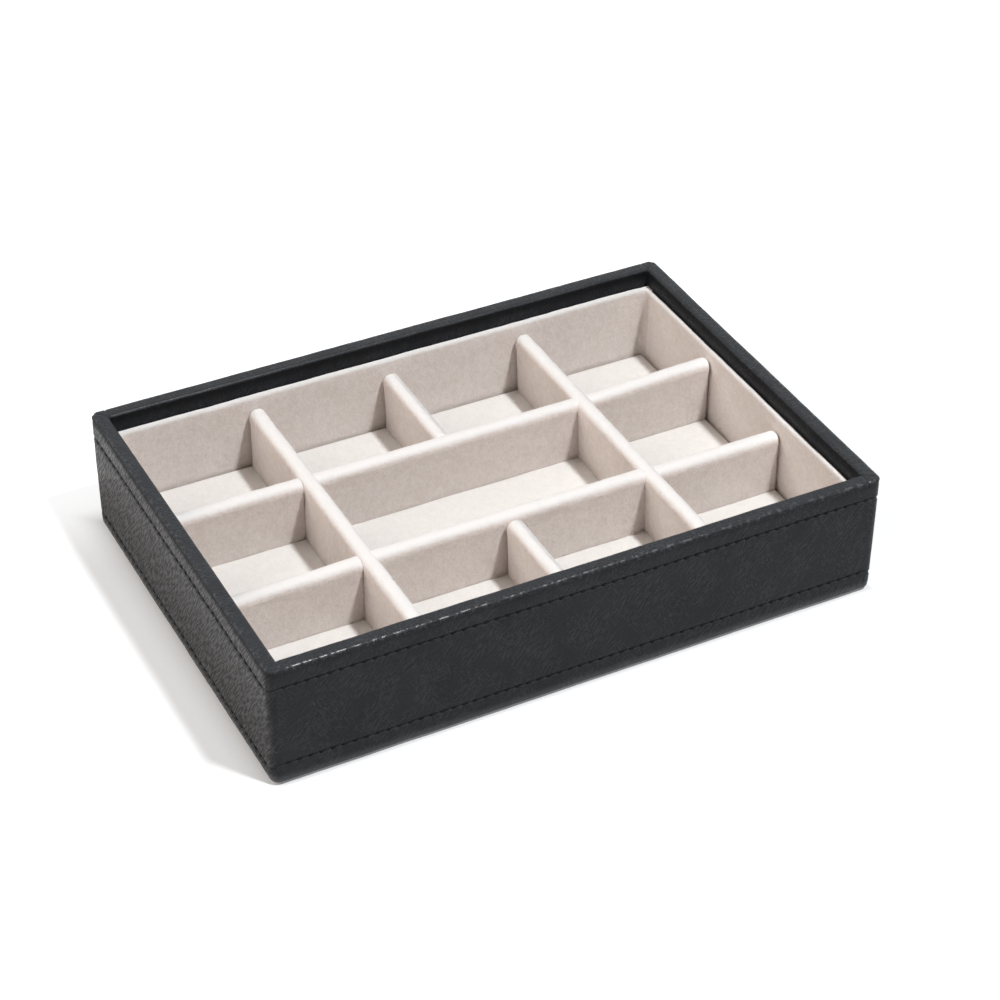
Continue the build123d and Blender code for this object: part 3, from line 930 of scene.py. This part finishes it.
class TRAY_OT_cover(bpy.types.Operator):
    """Leather over the walls and the rim, turned in above and under the base"""

    bl_idname = "tray.cover"
    bl_label = "Leather cover"

    def execute(self, context):
        sizes, thread = context.scene.tray_leather, context.scene.tray_thread
        finish = leather_finish(sizes)
        points, chart = cover_grid(sizes, thread)
        piece = surface_piece("leather_cover", [(points, True, True, False)], finish, chart=chart)
        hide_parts("leather_wrap")
        return {"FINISHED"}


class TRAY_OT_stitching(bpy.types.Operator):
    """Two lines of stitches round the outside"""

    bl_idname = "tray.stitching"
    bl_label = "Sewn lines"

    def execute(self, context):
        sizes, thread = context.scene.tray_leather, context.scene.tray_thread
        finish = thread_finish(thread)
        for name in LINE_SHIFT:
            piece = surface_piece(f"{name}_thread", stitch_grids(sizes, thread, name), finish)
            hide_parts(f"{name}_stitching")
        return {"FINISHED"}


class TRAY_OT_linings(bpy.types.Operator):
    """Velvet linings of the four walls"""

    bl_idname = "tray.linings"
    bl_label = "Wall linings"

    def execute(self, context):
        sizes = context.scene.tray_velvet
        finish = velvet_finish("lining_velvet", sizes)
        for wall in WALLS:
            grid = lining_grid(sizes, wall)
            piece = surface_piece(f"{wall}_lining", [(grid, True, False, True)], finish)
            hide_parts(f"{wall}_lining_velvet")
        return {"FINISHED"}


class TRAY_OT_dividers(bpy.types.Operator):
    """Velvet sleeves of the six dividers"""

    bl_idname = "tray.dividers"
    bl_label = "Dividers"

    def execute(self, context):
        sizes = context.scene.tray_velvet
        finish = velvet_finish("divider_velvet", sizes)
        for name in DIVIDERS:
            piece = surface_piece(f"{name}_sleeve", divider_grids(sizes, name), finish, weld=True)
            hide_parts(f"{name}_velvet")
        return {"FINISHED"}


class TRAY_OT_floor_pad(bpy.types.Operator):
    """Padded velvet floor"""

    bl_idname = "tray.floor_pad"
    bl_label = "Padded floor"

    def execute(self, context):
        sizes = context.scene.tray_velvet
        finish = velvet_finish("floor_velvet", sizes)
        piece = surface_piece("floor_pad", floor_grids(sizes), finish, weld=True)
        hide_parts("floor_velvet")
        return {"FINISHED"}


class TRAY_OT_felt(bpy.types.Operator):
    """Felt sheet under the base"""

    bl_idname = "tray.felt"
    bl_label = "Felt underside"

    def execute(self, context):
        finish, grids = fibre_finish("underside_felt"), felt_grids(context.scene.tray_leather)
        piece = surface_piece("underside_felt", grids, finish, weld=True)
        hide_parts("underside_sheet")
        return {"FINISHED"}


class TRAY_OT_boards(bpy.types.Operator):
    """Boards, cards and foam inside the covers"""

    bl_idname = "tray.boards"
    bl_label = "Boards inside"

    def execute(self, context):
        greyboard, card, foam = fibre_finish("greyboard"), fibre_finish("lining_card"), foam_finish()
        for name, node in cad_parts.items():
            if node.hide_render:
                continue
            finish = foam if name.endswith("foam") else card if name.endswith("card") else greyboard
            node.data.materials.clear()
            node.data.materials.append(finish)
        return {"FINISHED"}


class TRAY_OT_stage(bpy.types.Operator):
    """Camera, lamps and studio floor"""

    bl_idname = "tray.stage"
    bl_label = "Stage"

    def execute(self, context):
        scene, stage = context.scene, context.scene.tray_stage
        scene.view_settings.view_transform = "Standard"
        ahead, aside = math.cos(stage.heading), math.sin(stage.heading)
        level = math.cos(stage.tilt)
        sight = np.array([aside * level, ahead * level, -math.sin(stage.tilt)])
        right = np.array([ahead, -aside, 0])
        c, s = math.cos(stage.roll), math.sin(stage.roll)
        axes = np.array([[c, s, 0], [-s, c, 0], [0, 0, 1]]) @ np.stack([right, np.cross(sight, right), sight])
        place = -axes.T @ np.array([stage.aim_right, stage.aim_down, stage.stand_off])
        camera_data = bpy.data.cameras.new("camera")
        camera_data.lens, camera_data.sensor_width = stage.lens, 36
        camera_data.clip_start, camera_data.clip_end = 0.02, 20
        camera = bpy.data.objects.new("camera", camera_data)
        turn = np.column_stack([axes[0], -axes[1], -axes[2], place])
        camera.matrix_world = Matrix([*turn.tolist(), [0, 0, 0, 1]])
        scene.collection.objects.link(camera)
        scene.camera = camera

        for name, (place, tint) in LAMPS.items():
            lamp(f"{name}_lamp", place, getattr(stage, f"{name}_size"), getattr(stage, f"{name}_watts"), tint)
        world_finish(stage)
        floor_piece(stage)
        return {"FINISHED"}


def lamp(name, place, size, watts, tint):
    """Square lamp of a tint at a place, facing the middle of the tray."""
    data = bpy.data.lights.new(name, "AREA")
    data.shape, data.size, data.energy, data.color = "SQUARE", size, watts, tint
    made = bpy.data.objects.new(name, data)
    place = Vector(place)
    made.matrix_world = Matrix.Translation(place) @ place.to_track_quat("Z", "Y").to_matrix().to_4x4()
    bpy.context.scene.collection.objects.link(made)


def floor_piece(stage):
    """Studio floor: a flat square grid at the table's height."""
    reach, count = 3.0, 7
    x, y = np.meshgrid(*[np.linspace(-reach, reach, count)] * 2)
    number = np.arange(count**2).reshape(count, count)
    quads = np.stack([number[:-1, :-1], number[:-1, 1:], number[1:, 1:], number[1:, :-1]], -1).reshape(-1, 4)
    mesh = bpy.data.meshes.new("studio_floor")
    mesh.from_pydata(np.stack([x, y, 0 * x], -1).reshape(-1, 3).tolist(), [], quads.tolist())
    mesh.materials.append(floor_finish(stage))
    ground = bpy.data.objects.new("studio_floor", mesh)
    bpy.context.scene.collection.objects.link(ground)
    return ground


class VIEW3D_PT_tray(bpy.types.Panel):
    """Lists the pieces of the tray"""

    bl_idname = "VIEW3D_PT_tray"
    bl_label = "Tray"
    bl_space_type = "VIEW_3D"
    bl_region_type = "UI"
    bl_category = "Tray"

    def draw(self, context):
        for operator in OPERATORS:
            self.layout.operator(operator.bl_idname, text=operator.bl_label)
        for name in GROUPS:
            group = getattr(context.scene, name)
            box = self.layout.box()
            for field in group.__annotations__:
                box.prop(group, field)


OPERATORS = (
    TRAY_OT_stage,
    TRAY_OT_cover,
    TRAY_OT_stitching,
    TRAY_OT_linings,
    TRAY_OT_dividers,
    TRAY_OT_floor_pad,
    TRAY_OT_felt,
    TRAY_OT_boards,
)
GROUPS = {
    "tray_leather": LeatherSizes,
    "tray_thread": ThreadSizes,
    "tray_velvet": VelvetSizes,
    "tray_stage": StageSizes,
}
CLASSES = (*GROUPS.values(), *OPERATORS, VIEW3D_PT_tray)


def register():
    for one in CLASSES:
        bpy.utils.register_class(one)
    for name, group in GROUPS.items():
        setattr(bpy.types.Scene, name, PointerProperty(type=group))


def unregister():
    for name in GROUPS:
        delattr(bpy.types.Scene, name)
    for one in reversed(CLASSES):
        bpy.utils.unregister_class(one)


def main():
    """Registers the add-on and makes every piece in order."""
    register()
    bpy.ops.tray.stage()
    bpy.ops.tray.cover()
    bpy.ops.tray.stitching()
    bpy.ops.tray.linings()
    bpy.ops.tray.dividers()
    bpy.ops.tray.floor_pad()
    bpy.ops.tray.felt()
    bpy.ops.tray.boards()


if __name__ == "__main__":
    main()
